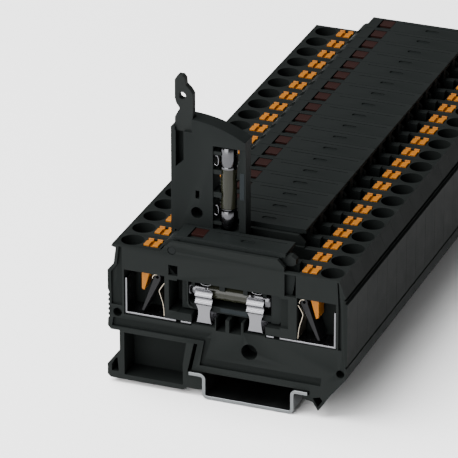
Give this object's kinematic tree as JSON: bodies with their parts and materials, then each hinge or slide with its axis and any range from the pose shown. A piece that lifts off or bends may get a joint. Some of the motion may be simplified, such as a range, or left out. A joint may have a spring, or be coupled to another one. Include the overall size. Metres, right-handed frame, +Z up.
{
  "type": "fuse terminal block strip",
  "caption": "Row of push-in rail-mounted fuse terminal blocks with hinged fuse levers, one swung open to show its glass cartridge fuse.",
  "frame": {"origin": "on the underside of the rail, at the middle of its width, level with the open front face of the first block", "axes": "+X across the rail towards the right-hand terminals, +Y along the row away from the open front, +Z up from the mounting surface"},
  "size_m": [0.0707, 0.1664, 0.0912],
  "materials": {
    "black_plastic": "fine moulded texture",
    "lever_plastic": "fine moulded texture",
    "tab_plastic": "fine moulded texture",
    "pin_plastic": "smooth",
    "orange_plastic": "satin",
    "bright_steel": "tin-plated, satin",
    "spring_steel": "dark spring steel",
    "rail_steel": "zinc-plated",
    "cap_metal": "nickel-plated",
    "fuse_glass": "clear",
    "fuse_element": "bright wire",
    "lens_red": "dark translucent red"
  },
  "bodies": {
    "base": {"din_rail": "rail_steel", "housing_01": "black_plastic", "housing_02": "black_plastic", "housings_rear": "black_plastic", "hinge_pin_01": "pin_plastic", "hinge_pin_02": "pin_plastic", "hinge_pins_rear": "pin_plastic", "current_bar_left": "bright_steel", "current_bar_right": "bright_steel", "bar_end_left": "bright_steel", "bar_end_right": "bright_steel", "fuse_clip_left": "bright_steel", "fuse_clip_right": "bright_steel", "fuse_clips_02": "bright_steel", "clamp_spring_left": "spring_steel", "clamp_spring_right": "spring_steel", "contact_strip_left": "bright_steel", "contact_strip_right": "bright_steel", "push_buttons_left_rear": "orange_plastic", "push_buttons_right_rear": "orange_plastic"},
    "button_left_01": {"push_button_left_01": "orange_plastic"},
    "button_right_01": {"push_button_right_01": "orange_plastic"},
    "button_left_02": {"push_button_left_02": "orange_plastic"},
    "button_right_02": {"push_button_right_02": "orange_plastic"},
    "tab_01": {"pull_tab_01": "tab_plastic"},
    "lever_01": {"fuse_lever_01": "lever_plastic", "indicator_lens_01": "lens_red", "fuse_caps_01": "cap_metal", "fuse_tube_01": "fuse_glass", "fuse_wire_01": "fuse_element"},
    "tab_02": {"pull_tab_02": "tab_plastic"},
    "lever_02": {"fuse_lever_02": "lever_plastic", "indicator_lens_02": "lens_red", "fuse_caps_02": "cap_metal", "fuse_tube_02": "fuse_glass", "fuse_wire_02": "fuse_element"},
    "lever_03": {"fuse_lever_03": "lever_plastic"},
    "lever_04": {"fuse_lever_04": "lever_plastic"},
    "lever_05": {"fuse_lever_05": "lever_plastic"},
    "lever_06": {"fuse_lever_06": "lever_plastic"},
    "lever_07": {"fuse_lever_07": "lever_plastic"},
    "lever_08": {"fuse_lever_08": "lever_plastic"},
    "lever_09": {"fuse_lever_09": "lever_plastic"},
    "lever_10": {"fuse_lever_10": "lever_plastic"},
    "lever_11": {"fuse_lever_11": "lever_plastic"},
    "lever_12": {"fuse_lever_12": "lever_plastic"},
    "lever_13": {"fuse_lever_13": "lever_plastic"},
    "lever_14": {"fuse_lever_14": "lever_plastic"},
    "lever_15": {"fuse_lever_15": "lever_plastic"},
    "lever_16": {"fuse_lever_16": "lever_plastic"},
    "lever_17": {"fuse_lever_17": "lever_plastic"},
    "lever_18": {"fuse_lever_18": "lever_plastic"},
    "lever_19": {"fuse_lever_19": "lever_plastic"},
    "lever_20": {"fuse_lever_20": "lever_plastic"}
  },
  "joints": [
    {"name": "button_left_01_press", "type": "slide", "parent": "base", "child": "button_left_01", "axis": [0, 0, -1], "range_m": [0, 0.0015], "stiffness_N_per_m": 400, "springref_m": -0.002},
    {"name": "button_right_01_press", "type": "slide", "parent": "base", "child": "button_right_01", "axis": [0, 0, -1], "range_m": [0, 0.0015], "stiffness_N_per_m": 400, "springref_m": -0.002},
    {"name": "button_left_02_press", "type": "slide", "parent": "base", "child": "button_left_02", "axis": [0, 0, -1], "range_m": [0, 0.0015], "stiffness_N_per_m": 400, "springref_m": -0.002},
    {"name": "button_right_02_press", "type": "slide", "parent": "base", "child": "button_right_02", "axis": [0, 0, -1], "range_m": [0, 0.0015], "stiffness_N_per_m": 400, "springref_m": -0.002},
    {"name": "lever_01_swing", "type": "hinge", "parent": "base", "child": "lever_01", "pos_m": [-0.0227, 0.0041, 0.0434], "axis": [0, -1, 0], "range_deg": [0, 90]},
    {"name": "tab_01_slide", "type": "slide", "parent": "lever_01", "child": "tab_01", "axis": [1, 0, 0], "range_m": [0, 0.0124]},
    {"name": "lever_02_swing", "type": "hinge", "parent": "base", "child": "lever_02", "pos_m": [-0.0227, 0.0123, 0.0434], "axis": [0, -1, 0], "range_deg": [-90, 0]},
    {"name": "tab_02_slide", "type": "slide", "parent": "lever_02", "child": "tab_02", "axis": [0, 0, 1], "range_m": [-0.0124, 0]},
    {"name": "lever_03_swing", "type": "hinge", "parent": "base", "child": "lever_03", "pos_m": [-0.0227, 0.0205, 0.0434], "axis": [0, -1, 0], "range_deg": [0, 90]},
    {"name": "lever_04_swing", "type": "hinge", "parent": "base", "child": "lever_04", "pos_m": [-0.0227, 0.0287, 0.0434], "axis": [0, -1, 0], "range_deg": [0, 90]},
    {"name": "lever_05_swing", "type": "hinge", "parent": "base", "child": "lever_05", "pos_m": [-0.0227, 0.0369, 0.0434], "axis": [0, -1, 0], "range_deg": [0, 90]},
    {"name": "lever_06_swing", "type": "hinge", "parent": "base", "child": "lever_06", "pos_m": [-0.0227, 0.0451, 0.0434], "axis": [0, -1, 0], "range_deg": [0, 90]},
    {"name": "lever_07_swing", "type": "hinge", "parent": "base", "child": "lever_07", "pos_m": [-0.0227, 0.0533, 0.0434], "axis": [0, -1, 0], "range_deg": [0, 90]},
    {"name": "lever_08_swing", "type": "hinge", "parent": "base", "child": "lever_08", "pos_m": [-0.0227, 0.0615, 0.0434], "axis": [0, -1, 0], "range_deg": [0, 90]},
    {"name": "lever_09_swing", "type": "hinge", "parent": "base", "child": "lever_09", "pos_m": [-0.0227, 0.0697, 0.0434], "axis": [0, -1, 0], "range_deg": [0, 90]},
    {"name": "lever_10_swing", "type": "hinge", "parent": "base", "child": "lever_10", "pos_m": [-0.0227, 0.0779, 0.0434], "axis": [0, -1, 0], "range_deg": [0, 90]},
    {"name": "lever_11_swing", "type": "hinge", "parent": "base", "child": "lever_11", "pos_m": [-0.0227, 0.0861, 0.0434], "axis": [0, -1, 0], "range_deg": [0, 90]},
    {"name": "lever_12_swing", "type": "hinge", "parent": "base", "child": "lever_12", "pos_m": [-0.0227, 0.0943, 0.0434], "axis": [0, -1, 0], "range_deg": [0, 90]},
    {"name": "lever_13_swing", "type": "hinge", "parent": "base", "child": "lever_13", "pos_m": [-0.0227, 0.1025, 0.0434], "axis": [0, -1, 0], "range_deg": [0, 90]},
    {"name": "lever_14_swing", "type": "hinge", "parent": "base", "child": "lever_14", "pos_m": [-0.0227, 0.1107, 0.0434], "axis": [0, -1, 0], "range_deg": [0, 90]},
    {"name": "lever_15_swing", "type": "hinge", "parent": "base", "child": "lever_15", "pos_m": [-0.0227, 0.1189, 0.0434], "axis": [0, -1, 0], "range_deg": [0, 90]},
    {"name": "lever_16_swing", "type": "hinge", "parent": "base", "child": "lever_16", "pos_m": [-0.0227, 0.1271, 0.0434], "axis": [0, -1, 0], "range_deg": [0, 90]},
    {"name": "lever_17_swing", "type": "hinge", "parent": "base", "child": "lever_17", "pos_m": [-0.0227, 0.1353, 0.0434], "axis": [0, -1, 0], "range_deg": [0, 90]},
    {"name": "lever_18_swing", "type": "hinge", "parent": "base", "child": "lever_18", "pos_m": [-0.0227, 0.1435, 0.0434], "axis": [0, -1, 0], "range_deg": [0, 90]},
    {"name": "lever_19_swing", "type": "hinge", "parent": "base", "child": "lever_19", "pos_m": [-0.0227, 0.1517, 0.0434], "axis": [0, -1, 0], "range_deg": [0, 90]},
    {"name": "lever_20_swing", "type": "hinge", "parent": "base", "child": "lever_20", "pos_m": [-0.0227, 0.1599, 0.0434], "axis": [0, -1, 0], "range_deg": [0, 90]}
  ],
  "couplings": [
    {"joint": "tab_01_slide", "follows": "lever_01_swing", "m_per_rad": 0.00789},
    {"joint": "tab_02_slide", "follows": "lever_02_swing", "m_per_rad": 0.00789}
  ]
}
